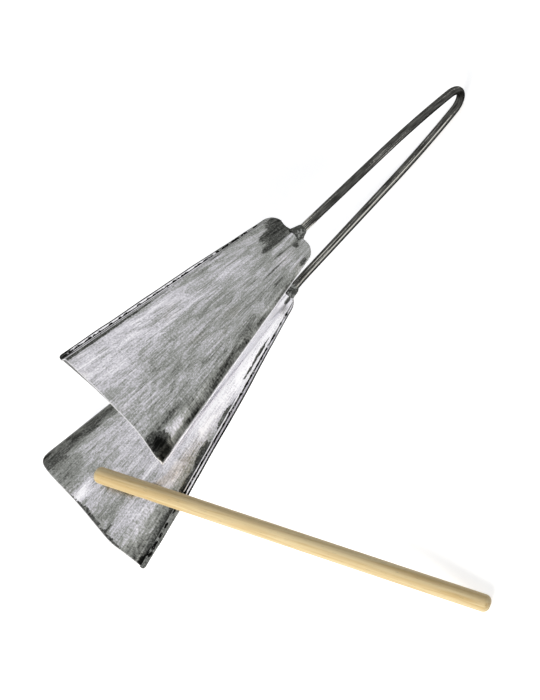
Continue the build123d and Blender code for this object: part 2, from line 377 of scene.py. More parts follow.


# How each sheet is shaded, with painted highlights, glints and painted shade standing in for its
# reflections.
# "tone" is its brightness. "lights" change the tone: painted highlights and glints where the amount is
# positive, painted shade where it is negative. The soot spots darken it: heat marks together with painted
# shade and dark reflections, such as the crown's dark patches and the black mouth corner. Both are spots of
# (middle across from the seam, middle along from the crown, half width, half length, amount), in shares of
# the bell.
# "fold": how far the tone falls round the fold as painted shade, where that starts and ends, and its slip
# along the bell.
# "seam": how far the tone falls down the slope to the seam, as painted shade.
# "slope" and "foot": the painted shade at the top and at the foot of that slope.
# "ledge": its tone near the crown, where its painted bright lines end along the bell, and the soot at its
# tip.
HIGH_LOOK = {
    "tone": 0.44,
    "lights": [
        (0.27, 0.48, 0.20, 0.32, 0.16), (0.32, 0.90, 0.28, 0.24, 0.25), (0.76, 0.10, 0.10, 0.05, 0.10),
        (0.975, 0.875, 0.016, 0.05, 0.22), (0.93, 0.89, 0.014, 0.075, -0.32), (0.91, 0.55, 0.012, 0.2, 0.08),
        (0.998, 0.84, 0.008, 0.1, -0.04), (0.995, 0.24, 0.01, 0.2, -0.2), (0.80, 0.87, 0.10, 0.1, 0.08),
        (0.45, 0.28, 0.15, 0.1, 0.07), (0.17, 0.42, 0.02, 0.1, -0.16), (0.24, 0.28, 0.015, 0.08, -0.14),
        (0.33, 0.62, 0.02, 0.1, -0.12), (0.22, 0.70, 0.012, 0.09, 0.14), (0.40, 0.50, 0.012, 0.12, 0.12),
    ],
    "soot_and_shade": [
        (0.14, 0.02, 0.13, 0.055, 1.0), (0.30, 0.05, 0.14, 0.09, 1.0), (0.44, 0.09, 0.10, 0.075, 0.95),
        (0.70, 0.04, 0.06, 0.018, 0.95), (0.97, 0.07, 0.03, 0.03, 0.9), (0.90, 0.20, 0.02, 0.05, 0.85),
        (0.74, 0.17, 0.012, 0.09, 0.8), (0.965, 0.98, 0.062, 0.055, 1.32), (0.14, 0.93, 0.012, 0.06, 0.85),
    ],
    "fold": (0.27, 0.59, 0.75, 0.65),
    "seam": 0.0,
    "slope": 0.85,
    "foot": 1.0,
    "ledge": (0.45, 1.1, 1.0),
}
LOW_LOOK = {
    "tone": 0.46,
    "lights": [
        (0.25, 0.20, 0.75, 0.36, 0.52), (0.30, 0.54, 0.34, 0.18, 0.20), (0.48, 0.74, 0.26, 0.22, 0.10),
        (0.52, 0.965, 0.035, 0.05, 0.55), (0.13, 0.88, 0.07, 0.11, 0.15), (0.66, 0.955, 0.08, 0.05, -0.2),
        (0.29, 0.95, 0.06, 0.04, -0.12), (0.35, 0.84, 0.02, 0.1, -0.14), (0.24, 0.80, 0.02, 0.1, 0.12),
        (0.05, 0.055, 0.06, 0.018, -0.4),
    ],
    "soot_and_shade": [
        (0.80, 0.95, 0.08, 0.05, 0.6), (0.0, 0.995, 0.03, 0.012, 0.9), (0.22, 0.985, 0.012, 0.03, 1.0),
        (0.42, 1.00, 0.24, 0.02, 0.75), (0.22, 1.006, 0.13, 0.012, 0.95), (0.035, 0.24, 0.016, 0.10, 1.0),
        (0.02, 0.45, 0.016, 0.07, 1.0), (0.018, 0.60, 0.025, 0.06, 1.15), (0.80, 0.07, 0.20, 0.06, 0.8),
        (0.30, 0.05, 0.05, 0.03, 0.9), (0.11, 0.025, 0.05, 0.018, 1.0),
    ],
    "fold": (0.32, 0.04, 0.24, 0.0),
    "seam": 0.22,
    "slope": 0.0,
    "foot": 1.3,
    "ledge": (0.95, 0.76, 0.25),
}
BACK_TONE = 1.1
BACK_PATTERN = 5.0  # shift that gives the back other streaks than the front
# Tone and soot of the ledge's points: under, outer edge, top, and the front flap's cut edge. The dark outer
# edge is painted shade, the dark line on the top by the cut edge is painted shade beside the tack welds, and
# the bright strip between them and the bright cut edge are painted highlights.
LEDGE_SHADES = [(0.5, 0.2)] * 3 + [(0.2, 1.2)] * 4 + [(0.97, 0.0)] * 2
LEDGE_SHADES += [(0.3, 1.2)] * 2 + [(0.95, 0.0)] * 2
LEDGE_TOP = (0.2, 0.36, 0.6, 0.74, 1.0)  # where the points of its top lie across it
DULL_TONE, DULL_DARK = 0.34, 0.25  # the ledge where its bright lines have ended


def light_spot(across, along, spot):
    """Light of a soft spot at a point."""
    return spot[4] * math.exp(-((across - spot[0]) / spot[2]) ** 2 - ((along - spot[1]) / spot[3]) ** 2)


def soot_and_shade_spot(across, along, spot):
    """Soot and painted shade of a flat-topped spot at a point."""
    reach = ((across - spot[0]) / spot[2]) ** 2 + ((along - spot[1]) / spot[3]) ** 2
    return spot[4] * math.exp(-reach * reach)


def sheet_shades(look, across, along, climb, lean):
    """Tone and soot with painted light and shade: climb rises from 0 to 1 up the seam's slope, lean from 0
    to 2 round the fold.
    """
    drop, start, end, slip = look["fold"]
    tone = look["tone"] + sum(light_spot(across, along, spot) for spot in look["lights"])
    # painted shade round the fold and down the slope to the seam
    tone -= drop * ease(lean - slip * (along - 0.57), start, end) * ease(along, 0.32, 0.52)
    tone -= look["seam"] * ease(climb, 0.5, 0.34) * ease(along, 0.25, 0.45)
    # soot spots, among them painted shade and dark reflections
    blackened = max(soot_and_shade_spot(across, along, spot) for spot in look["soot_and_shade"])
    # painted shade along the foot and over the top of the seam's slope
    foot = look["foot"] * ease(climb, 0.13, 0.04) * ease(along, 0.03, 0.1)
    foot *= 0.65 + 0.35 * ease(along, 0.5, 0.62)
    slope = look["slope"] * ease(climb, 1.24, 1.06) * ease(climb, 0.75, 0.9)
    slope *= 0.45 + 0.55 * ease(along, 0.5, 0.7)
    # the back is plain and bright, with the crown's soot and painted shade showing through
    back = ease(lean, 1.05, 1.14)
    tone += (BACK_TONE - tone) * back
    return tone, max(foot, blackened * (1 - back * ease(along, 0.15, 0.3)), slope * (1 - back))


def wall_shades(bell, look, x, s, on_front):
    """Tone and soot at a point of the wall."""
    seam, fold, half = bell.at(s)
    lean = math.asin(min(1.0, max(0.0, 1 - (fold - x) / half))) / (math.pi / 2)
    climb = (x - seam) * math.tan(bell.common.seam_slope) / half
    tone, soot_and_shade = sheet_shades(look, (x - seam) / (fold - seam), s / bell.own.length, climb,
                              lean if on_front else 2 - lean)
    # painted highlight along the top of the ridge over the rod and painted shade along its sides, with less
    # soot on its top
    socket = ease(s, bell.common.rod_insert + RIDGE_END[1], bell.common.rod_insert)
    tone += socket * (0.09 * hump(x, 0, 0.002) - 0.26 * hump(abs(x), bell.wrap + 0.0008, 0.001))
    return tone, soot_and_shade * (1 - 0.7 * socket * hump(x, 0, 0.0035))


def ledge_shades(bell, look, number, s):
    """Tone and soot at one of the ledge's points: plainer near the crown and where its painted lines of
    light and shade have ended.
    """
    along = s / bell.own.length
    top, dull_from, tip = look["ledge"]
    tone, soot_and_shade = LEDGE_SHADES[number]
    tone = min(tone, top + ease(along, 0.2, 0.5))
    soot_and_shade = min(soot_and_shade, 2.0 - 1.8 * top * ease(along, 0.3, 0.12))
    dulled = ease(along, dull_from, dull_from + 0.05)
    tone += (DULL_TONE - tone) * dulled
    soot_and_shade += (DULL_DARK - soot_and_shade) * dulled + tip * ease(along, 0.93, 0.97)
    return tone, soot_and_shade


def lip_height(half):
    """Height of the front flap's cut edge, less at the pinched crown."""
    return min(LIP, 0.7 * half)


def wall_loop(bell, s, wall):
    """One cross-section inside a wall, from the seam over the front and round the fold to the seam."""
    seam, fold, half = bell.at(s)
    slope = bell.common.seam_slope
    fold -= corner_inset(s, bell.common.shoulder_radius)
    seam = max(seam, bell.ledge_edge(s) + LEDGE_LEAST)
    radius = CREASE_ROUND * half
    flat_start = seam + half / math.tan(slope) + radius * math.tan(slope / 2)
    radius = max(radius - wall, radius / 4)
    seam += wall / math.sin(slope)
    half -= wall
    fold -= wall
    fold_start = max(fold - half, flat_start + FLAT_LEAST)
    crease = [(flat_start - radius * math.sin(angle), half - radius + radius * math.cos(angle))
              for angle in spread(slope, 0, CREASE + 1)]
    foot = lip_height(half) if wall == 0 else 0.05 * half
    foot_x = seam + foot / math.tan(slope)
    rise_x, rise = crease[0][0] - foot_x, crease[0][1] - foot
    front = [(foot_x + rise_x * share, foot + rise * share) for share in spread(0, 1, SLOPE)]
    front += crease[1:]
    front += [(x, half) for x in spread(flat_start, fold_start, FLAT + 1)[1:]]
    for angle in spread(0, math.pi / 2, FOLD + 1)[1:]:
        front.append((fold_start + (fold - fold_start) * math.sin(angle), half * math.cos(angle)))
    return front + [(x, -h) for x, h in reversed(front[:-1])]


def placed(bell, loop, s, wall):
    """Moves a wall's points by the ridge, the waves, the crown's dip and the cut of the rim."""
    seam, fold, half = bell.at(s)
    near_mouth = ease(bell.own.length - s, RIM_ZONE, 0.0)
    dip = bell.common.crown_dip * ease(s, DIP_LENGTH, 0.0)
    points = []
    for number, (x, h) in enumerate(loop):
        side = 1 if number < FRONT else -1
        height = abs(h)
        ridge = bell.ridge(x, s) - wall
        if ridge > 0:
            mix = min(1.0, max(0.0, 0.5 + 0.5 * (ridge - height) / RIDGE_BLEND))
            height += (ridge - height) * mix + RIDGE_BLEND * mix * (1 - mix)
        height += bell.wave(x, s, side)
        # the two flaps never meet, except where they are pinched
        if abs(h) > 0.0003:
            height = max(height, 0.0002)
        drop = bell.rim_drop(x) + (bell.common.back_cut * abs(h) / half if side < 0 else 0.0)
        station = s - drop * near_mouth + dip * hump(x, DIP_MIDDLE, DIP_WIDTH)
        new_seam, new_fold, new_half = bell.at(station)
        x = bell.middle + (x - bell.middle) * (new_fold - new_seam) / (fold - seam)
        points.append((x, side * height * new_half / half if h != 0 else 0.0, station))
    return points


def ledge_loop(bell, s):
    """The ledge and the front flap's cut edge, from the back of the seam out and back to its front."""
    seam, _, half = bell.at(s)
    edge = bell.ledge_edge(s)
    inner = max(seam, edge + LEDGE_LEAST) - LIP_STEP
    thick = min(bell.common.sheet / 2, 0.45 * half)
    lip = lip_height(half)
    outline = [
        (inner, -thick), ((inner + edge) / 2, -thick), (edge + LEDGE_BEVEL, -thick),
        (edge, -thick + LEDGE_BEVEL), (edge, thick - LEDGE_BEVEL), (edge + LEDGE_BEVEL, thick),
        *((edge + (inner - edge) * share, thick) for share in LEDGE_TOP),
        (inner, lip - LEDGE_BEVEL), (inner + LEDGE_BEVEL, lip),
    ]
    near_mouth = ease(bell.own.length - s, RIM_ZONE, 0.0)
    return [(x, h, s + bell.rim_shift(x) * near_mouth) for x, h in outline]


def bell_mesh(bell, name, material, look):
    """The folded sheet as one closed mesh: outside with ledge, rim and inside."""
    length = bell.own.length
    fan = (bell.own.mouth_width + bell.own.crown_width) / 2
    points, faces = [], []
    shades = {"sheet": [], "tone": [], "dark": [], "inside": [], "cut": []}

    def add_ring(ring, within, edge):
        """Adds a ring of points with what the material reads there, and gives its first index."""
        for number, (x, h, s) in enumerate(ring):
            seam, fold, _ = bell.at(s)
            on_front = number < FRONT
            if number < WALL:
                tone, soot_and_shade = wall_shades(bell, look, x, s, on_front)
            else:
                tone, soot_and_shade = ledge_shades(bell, look, number - WALL, s)
            points.append(bell.world(x, h, s))
            pattern = bell.seed if on_front else bell.seed + BACK_PATTERN
            shades["sheet"].append(((x - seam) / (fold - seam) * fan, s, pattern))
            shades["tone"].append(tone)
            shades["dark"].append(0.0 if within else soot_and_shade)
            shades["inside"].append(1.0 if within else 0.0)
            shades["cut"].append(edge if number < WALL else 0.0)
        return len(points) - len(ring)

    # close stations at the crown's edge and at the rim, even ones between
    stations = [0.0, 0.0003, 0.0008, 0.0016, 0.0026, 0.0038, 0.0052, 0.0068, 0.0085, 0.0105]
    stations += spread(0.0125, length - 0.006, 92)
    stations += [length - back for back in (0.0045, 0.003, 0.0018, 0.0009, RIM_BEVEL, 0.0)]
    outer = []
    for s in stations:
        wall = RIM_BEVEL if s == length else 0.0
        ring = placed(bell, wall_loop(bell, s, wall), s, 0.0) + ledge_loop(bell, s)
        # the last 0.8 mm before the rim carry the cut edge: bare metal with a painted highlight line
        outer.append(add_ring(ring, False, ease(length - s, 0.0008, 0.0)))
    inner = []
    hollow = bell.common.shoulder_radius + 0.002
    for s in [length, length - RIM_BEVEL] + spread(length - 0.004, hollow, 60):
        wall = bell.common.sheet - (RIM_BEVEL if s == length else 0.0)
        inner.append(add_ring(placed(bell, wall_loop(bell, s, wall), s, wall), s < length, 0.0))

    count = WALL + len(LEDGE_SHADES)
    crown, mouth = outer[0], outer[-1]
    for first, second in zip(outer, outer[1:]):
        faces += ring_faces(first, second, count)
    faces += flipped(end_faces(crown))
    faces.append((crown, *(crown + i for i in range(count - 1, WALL - 2, -1))))
    for first, second in zip([mouth] + inner, inner):
        faces += ring_faces(first, second, WALL, closed=False)
    for first, second in zip(inner, inner[1:]):
        faces.append((first + WALL - 1, first, second, second + WALL - 1))
    faces.append((*(mouth + i for i in range(WALL - 1, count)), mouth, inner[0], inner[0] + WALL - 1))
    faces += end_faces(inner[-1])
    return mesh_object(name, points, faces if bell.mirrored else flipped(faces), material, shades)


# the rod is painted lighter on the side that faces up and out, with painted highlight lines, and darker away
# from it
LIT_SIDE = Vector((0.42, 0.0, 0.907))  # the side of the rod that faces up and out
LIT_ACROSS = Vector((0.907, 0.0, -0.42))


def rod_painted_light(normal):
    """Painted highlight lines on a side of the rod, and the painted shade that darkens its colour there."""
    facing, across = normal.dot(LIT_SIDE), normal.dot(LIT_ACROSS)
    # painted highlights: a bright line beside the middle and a fainter one on its other side
    line = hump(across, 0.36, 0.2) + 0.62 * hump(across, -0.35, 0.24)
    # painted shade: darker away from the side that faces up and out, and darker still far across
    shade = (0.45 + 0.55 * ease(facing, 0.2, 0.75)) * (1 - 0.5 * ease(across, 0.6, 0.8))
    return line if facing > 0 else 0.0, shade


def rod_mesh(sizes, name, material):
    """Round bar along the hairpin, from inside the low crown over the apex to inside the high crown."""
    rear, _ = arm_path(-1, sizes)
    front, _ = arm_path(1, sizes)
    path = [(x, y, heading + math.pi, -travel) for x, y, heading, travel in reversed(rear)] + front[1:]
    radius = sizes.rod_diameter / 2
    points, bar, sheen, shade = [], [], [], []
    for x, y, heading, travel in path:
        centre = hairpin_point(x, y, sizes)
        outward = hairpin_direction(-math.sin(heading), math.cos(heading), sizes)
        for angle in spread(0, 2 * math.pi, AROUND + 1)[:-1]:
            normal = Vector((1, 0, 0)) * math.cos(angle) + outward * math.sin(angle)
            points.append(centre + normal * radius)
            bar.append((abs(angle - math.pi) * radius, travel, 0.0))
            sheen_line, light = rod_painted_light(normal)
            sheen.append(sheen_line)
            shade.append(light)
    attributes = {"bar": bar, "sheen": sheen, "shade": shade}
    return mesh_object(name, points, tube_faces(len(path)), material, attributes)


def crown_weld_mesh(bell, name, material):
    """Lumpy fillet of weld metal round the rod, saddled over the crown's edge."""
    rod, wrap = bell.common.rod_diameter / 2, bell.wrap
    height, reach = bell.common.weld_height, bell.own.weld_reach
    # station from the crown's edge, half width and half depth
    profile = [
        (0.0030, 0.93 * reach, wrap + 0.0001), (0.0022, reach, wrap + 0.0006),
        (0.0008, 0.97 * reach, wrap + 0.0008), (-0.0008, 0.86 * reach, wrap + 0.0006),
        (-0.36 * height, wrap + 0.0008, wrap + 0.0001), (-0.6 * height, rod + 0.0011, rod + 0.0010),
        (-0.85 * height, rod + 0.0006, rod + 0.0006), (-height, rod - 0.0002, rod - 0.0002),
    ]
    points = []
    for s, wide, deep in profile:
        for angle in spread(0, 2 * math.pi, AROUND + 1)[:-1]:
            lump = noise.noise(Vector((3 * math.cos(angle), 3 * math.sin(angle) + bell.seed, s * 420)))
            grow = 1 + 0.09 * lump
            points.append(bell.world(wide * grow * math.cos(angle), deep * grow * math.sin(angle), s))
    faces = tube_faces(len(profile))
    made = mesh_object(name, points, flipped(faces) if bell.mirrored else faces, material)
    finer = made.modifiers.new("Finer", "SUBSURF")
    finer.levels = finer.render_levels = 1
    return made


# Nodes


def rgba(colour):
    return (*colour, 1.0)


def add(tree, kind, inputs=None, stops=(), **settings):
    """Adds one node with its settings and colour stops, and sets its inputs or links them to nodes."""
    node = tree.nodes.new(kind if "Node" in kind else f"ShaderNode{kind}")
    for name, value in settings.items():
        setattr(node, name, value)
    for number, (position, colour) in enumerate(stops):
        marks = node.color_ramp.elements
        mark = marks[number] if number < 2 else marks.new(position)
        mark.position, mark.color = position, rgba(colour)
    for key, value in (inputs or {}).items():
        if isinstance(value, bpy.types.Node):
            value = next(socket for socket in value.outputs if socket.enabled)
        if isinstance(value, bpy.types.NodeSocket):
            tree.links.new(value, node.inputs[key])
        else:
            node.inputs[key].default_value = value
    return node


# Row of tack welds


def bead_tree():
    """Geometry Nodes for a row of tack welds: lumpy beads between two points, each a little different."""
    tree = bpy.data.node_groups.new("Row of tack welds", "GeometryNodeTree")
    kinds = {"Geometry": "Geometry", "Start": "Vector", "End": "Vector", "Out": "Vector", "Count": "Int",
             "Bead Length": "Float", "Bead Radius": "Float", "Seed": "Int", "Material": "Material"}
    for label, kind in kinds.items():
        tree.interface.new_socket(label, in_out="INPUT", socket_type=f"NodeSocket{kind}")
    tree.interface.new_socket("Geometry", in_out="OUTPUT", socket_type="NodeSocketGeometry")
    given = add(tree, "NodeGroupInput").outputs
    start, end, radius, seed = (given[label] for label in ("Start", "End", "Bead Radius", "Seed"))
    line = add(tree, "GeometryNodeMeshLine",
               {"Count": given["Count"], "Start Location": start, "Offset": end}, mode="END_POINTS")
    along = add(tree, "VectorMath", {0: end, 1: start}, operation="SUBTRACT")
    lying = add(tree, "FunctionNodeAlignRotationToVector", {"Vector": along}, axis="X")
    upright = add(tree, "FunctionNodeAlignRotationToVector", {"Rotation": lying, "Vector": given["Out"]},
                  axis="Z", pivot_axis="X")
    ball = add(tree, "GeometryNodeMeshUVSphere", {"Segments": 18, "Rings": 10, "Radius": 1.0})
    half = add(tree, "Math", {0: given["Bead Length"], 1: 0.5}, operation="MULTIPLY")
    flat = add(tree, "Math", {0: radius, 1: 0.75}, operation="MULTIPLY")
    shape = add(tree, "CombineXYZ", {"X": half, "Y": radius, "Z": flat})
    bead = add(tree, "GeometryNodeTransform", {"Geometry": ball, "Scale": shape})
    uneven = add(tree, "FunctionNodeRandomValue", {0: (0.4, 0.7, 0.75), 1: (1.6, 1.25, 1.2), "Seed": seed},
                 data_type="FLOAT_VECTOR")
    # beads slip along the seam by up to this share of its length
    slip = add(tree, "FunctionNodeRandomValue", {2: -0.014, 3: 0.014, "Seed": seed})
    shift = add(tree, "VectorMath", {0: along, "Scale": slip}, operation="SCALE")
    moved = add(tree, "GeometryNodeSetPosition", {"Geometry": line, "Offset": shift})
    row = add(tree, "GeometryNodeInstanceOnPoints",
              {"Points": moved, "Instance": bead, "Rotation": upright, "Scale": uneven})
    solid = add(tree, "GeometryNodeRealizeInstances", {"Geometry": row})
    # lumps of about 2.4 mm that swell or sink by up to 1.1 mm
    lumps = add(tree, "TexNoise", {"Scale": 420.0, "Detail": 2.0})
    amount = add(tree, "Math", {0: lumps, 1: 0.0022, 2: -0.0011}, operation="MULTIPLY_ADD")
    normal = add(tree, "GeometryNodeInputNormal")
    push = add(tree, "VectorMath", {0: normal, "Scale": amount}, operation="SCALE")
    lumpy = add(tree, "GeometryNodeSetPosition", {"Geometry": solid, "Offset": push})
    smooth = add(tree, "GeometryNodeSetShadeSmooth", {"Geometry": lumpy})
    finish = add(tree, "GeometryNodeSetMaterial", {"Geometry": smooth, "Material": given["Material"]})
    add(tree, "NodeGroupOutput", {"Geometry": finish})
    return tree


def bead_row(bell, name, material):
    """A plain mesh of one seam's tack welds, made by the tree."""
    sizes = bell.common
    margin, rise = 0.007, 0.0008
    first, last = sizes.shoulder_radius + margin, bell.own.length - margin
    start, end = (bell.world(bell.at(s)[0] - bell.own.bead_offset, rise, s) for s in (first, last))
    values = {
        "Start": start, "End": end, "Out": bell.out,
        "Count": int((last - first) / sizes.bead_pitch) + 1,
        "Bead Length": sizes.bead_length, "Bead Radius": sizes.bead_radius,
        "Seed": sizes.bead_seed + int(bell.seed), "Material": material,
    }
    holder = bpy.data.objects.new(name, bpy.data.meshes.new(name))
    bpy.context.scene.collection.objects.link(holder)
    maker = holder.modifiers.new("Tack welds", "NODES")
    maker.node_group = bpy.data.node_groups.get("Row of tack welds") or bead_tree()
    for item in maker.node_group.interface.items_tree:
        if item.in_out == "INPUT" and item.name in values:
            maker[item.identifier] = values[item.name]
    holder.update_tag()
    depsgraph = bpy.context.evaluated_depsgraph_get()
    mesh = bpy.data.meshes.new_from_object(holder.evaluated_get(depsgraph))
    holder.modifiers.remove(maker)
    holder.data = mesh
    mesh.name = name
    return holder


# Materials


def blank(name):
    """A material with an empty node tree, and that tree."""
    material = bpy.data.materials.new(name)
    material.use_nodes = True
    material.node_tree.nodes.clear()
    return material, material.node_tree


def finished(material, surface):
    """Ends a material in its shader, with these values and links on the shader's sockets."""
    tree = material.node_tree
    add(tree, "OutputMaterial", {"Surface": add(tree, "BsdfPrincipled", surface)})
    return material


def metal_colour(tree, colour):
    """A metal's colour, and an edge tint that keeps dark metal dark where it is seen edge-on."""
    edge = add(tree, "Mix", {"Factor": 0.4, 6: colour, 7: (1.0, 1.0, 1.0, 1.0)}, data_type="RGBA")
    return {"Base Color": colour, "Specular Tint": edge}


def drawn_out(tree, place, depth, sizes):
    """Noise patterns, each from its size across and along in mm, detail, roughness and distortion."""
    made = []
    for wide, tall, detail, rough, bent in sizes:
        spot = add(tree, "Mapping", {"Vector": place, "Scale": (1000 / wide, 1000 / tall, depth)})
        made.append(add(tree, "TexNoise", {"Vector": spot, "Scale": 1.0, "Detail": detail,
                                           "Roughness": rough, "Distortion": bent}))
    return made


def mottled(tree, value, shares):
    """A value with patterns added to it, each by its share and about its own middle."""
    total = add(tree, "Math", {0: value, 1: -sum(share for _, share in shares) / 2}, operation="ADD")
    for pattern, share in shares:
        total = add(tree, "Math", {0: pattern, 1: share, 2: total}, operation="MULTIPLY_ADD")
    return total


def plated_sheet_steel(finish):
    """Hand-folded, plated sheet steel: smears and streaks along it, ragged heat marks and painted shade by
    the folds, and painted highlights and glints.
    """
    material, tree = blank("Plated sheet steel")
    sheet = add(tree, "Attribute", attribute_name="sheet").outputs["Vector"]
    tone, dark, inside, cut = (add(tree, "Attribute", attribute_name=label).outputs["Fac"]
                               for label in ("tone", "dark", "inside", "cut"))
    scratch, streak, smear, cloud, grain = drawn_out(tree, sheet, 1.0, [
        (0.5, 30, 1.0, 0.5, 0.0), (1.1, 14, 3.0, 0.6, 0.3), (5, 22, 5.0, 0.72, 0.9),
        (16, 42, 3.0, 0.55, 0.5), (0.9, 1.3, 2.0, 0.6, 0.0),
    ])
    # smears lie in patches with clear edges
    patch = add(tree, "MapRange", {"Value": smear, "From Min": 0.44, "From Max": 0.56},
                interpolation_type="SMOOTHSTEP")
    shade = mottled(tree, tone, [(scratch, 0.44), (streak, 0.44), (smear, 0.42), (patch, 0.08),
                                 (cloud, 0.30), (grain, 0.70)])
    # the tone carries painted highlights, glints and painted shade besides the sheet's own brightness
    plate = add(tree, "ValToRGB", {0: shade}, stops=[
        (0.0, finish.steel_dark), (0.16, finish.steel_shadow), (0.46, finish.steel_grey),
        (0.66, finish.steel_light), (0.94, finish.steel_bright),
    ])
    # straw colour shows faintly in a few clouds
    straw = add(tree, "MapRange", {"Value": cloud, "From Min": 0.58, "From Max": 0.72, "To Max": 0.12},
                interpolation_type="SMOOTHSTEP")
    warm = add(tree, "Mix", {"Factor": straw, 6: plate, 7: rgba(finish.steel_tint)},
               data_type="RGBA", blend_type="MULTIPLY")
    # heat marks and painted shade end in ragged edges that follow the smears and streaks, and are black
    # where they are thick
    marked = mottled(tree, dark, [(smear, 2.0), (streak, 1.0)])
    blackened = add(tree, "MapRange", {"Value": marked, "From Min": 0.49, "From Max": 0.57},
                interpolation_type="SMOOTHSTEP")
    thick = add(tree, "MapRange", {"Value": marked, "From Min": 0.95, "From Max": 1.35})
    fine = add(tree, "Mix", {"Factor": 0.5, 2: grain, 3: streak})
    soot_and_shade = add(tree, "ValToRGB", {0: fine}, stops=[
        (0.38, finish.steel_dark), (0.54, finish.steel_shadow), (0.64, finish.steel_grey),
    ])
    layer = add(tree, "Mix", {"Factor": thick, 6: soot_and_shade, 7: rgba(finish.steel_black)}, data_type="RGBA")
    colour = add(tree, "Mix", {"Factor": blackened, 6: warm, 7: layer}, data_type="RGBA")
    # the inside is dull and the cut edge of the sheet is bare, with a painted highlight line along the rim,
    # and both are matt
    for share, over in ((inside, finish.inside_dull), (cut, finish.steel_bright)):
        colour = add(tree, "Mix", {"Factor": share, 6: colour, 7: rgba(over)}, data_type="RGBA")
    matt = add(tree, "Math", {0: cut, 1: inside}, operation="MAXIMUM")
    polish = add(tree, "MapRange", {"Value": matt, "To Min": 1.0, "To Max": 0.2})
    rough = add(tree, "MapRange", {"Value": smear, "From Min": 0.3, "From Max": 0.7,
                                   "To Min": 0.2, "To Max": 0.4})
    relief = add(tree, "Math", {0: smear, 1: 2.5, 2: streak}, operation="MULTIPLY_ADD")
    bump = add(tree, "Bump", {"Height": relief, "Strength": 0.35, "Distance": 0.0001})
    return finished(material, {**metal_colour(tree, colour), "Metallic": polish, "Roughness": rough,
                               "Normal": bump})


def weld_metal(name, scale, metal, bare_from):
    """Arc-weld metal: burnt scale with small bare, bright specks."""
    material, tree = blank(name)
    spot = add(tree, "TexCoord").outputs["Object"]
    # specks of about 1.4 mm in patches of about 5 mm
    speck = add(tree, "TexNoise", {"Vector": spot, "Scale": 700.0, "Detail": 3.0})
    patch = add(tree, "TexNoise", {"Vector": spot, "Scale": 190.0, "Detail": 2.0})
    both = add(tree, "Math", {0: speck, 1: patch}, operation="ADD")
    bare = add(tree, "MapRange", {"Value": both, "From Min": bare_from, "From Max": bare_from + 0.22},
               interpolation_type="SMOOTHSTEP")
    colour = add(tree, "Mix", {"Factor": bare, 6: rgba(scale), 7: rgba(metal)}, data_type="RGBA")
    bump = add(tree, "Bump", {"Height": speck, "Strength": 0.5, "Distance": 0.0003})
    return finished(material, {**metal_colour(tree, colour), "Metallic": 1.0, "Roughness": 0.34,
                               "Normal": bump})


def drawn_bar(finish):
    """Drawn steel bar: dark on the front arm and the bend, painted highlight lines on the rear arm, painted
    shade on its sides.
    """
    material, tree = blank("Drawn steel bar")
    bar = add(tree, "Attribute", attribute_name="bar").outputs["Vector"]
    sheen, light = (add(tree, "Attribute", attribute_name=label).outputs["Fac"] for label in ("sheen", "shade"))
    travel = add(tree, "SeparateXYZ", {0: bar}).outputs["Y"]
    # die lines, scale that was drawn out, and flakes
    line, drawn, flake = drawn_out(tree, bar, 0.0, [
        (0.7, 60, 1.0, 0.5, 0.0), (1.6, 12, 3.0, 0.5, 0.0), (0.8, 1.4, 3.0, 0.5, 0.0),
    ])
    # the painted highlight lines show on the rear arm from 12 mm past the apex, and fully from 35 mm
    rear = add(tree, "MapRange", {"Value": travel, "From Min": -0.012, "From Max": -0.035})
    top = add(tree, "MapRange", {"Value": sheen, "To Min": -0.5, "To Max": 1.05})
    sheen_line = add(tree, "Math", {0: rear, 1: top}, operation="MULTIPLY")
    # a little scale is off where the front arm meets its weld
    heel = add(tree, "MapRange", {"Value": travel, "From Min": 0.150, "From Max": 0.165, "To Max": 0.38})
    lit_and_worn = add(tree, "Math", {0: sheen_line, 1: heel}, operation="MAXIMUM")
    ragged = mottled(tree, lit_and_worn, [(flake, 0.8), (line, 2.2)])
    bare = add(tree, "MapRange", {"Value": ragged, "From Min": 0.3, "From Max": 0.75},
               interpolation_type="SMOOTHSTEP")
    scale = add(tree, "ValToRGB", {0: drawn}, stops=[(0.35, finish.rod_dark), (0.72, finish.rod_grey)])
    # painted shade darkens the bar's colour away from the side that faces up and out
    shaded = add(tree, "VectorMath", {0: scale, "Scale": light}, operation="SCALE")
    # the bright colour shows in the painted highlight lines and where the front arm meets its weld
    colour = add(tree, "Mix", {"Factor": bare, 6: shaded, 7: rgba(finish.rod_bright)}, data_type="RGBA")
    rough = add(tree, "MapRange", {"Value": bare, "To Min": 0.42, "To Max": 0.24})
    bump = add(tree, "Bump", {"Height": flake, "Strength": 0.25, "Distance": 0.0001})
    return finished(material, {**metal_colour(tree, colour), "Metallic": 1.0, "Roughness": rough,
                               "Normal": bump})


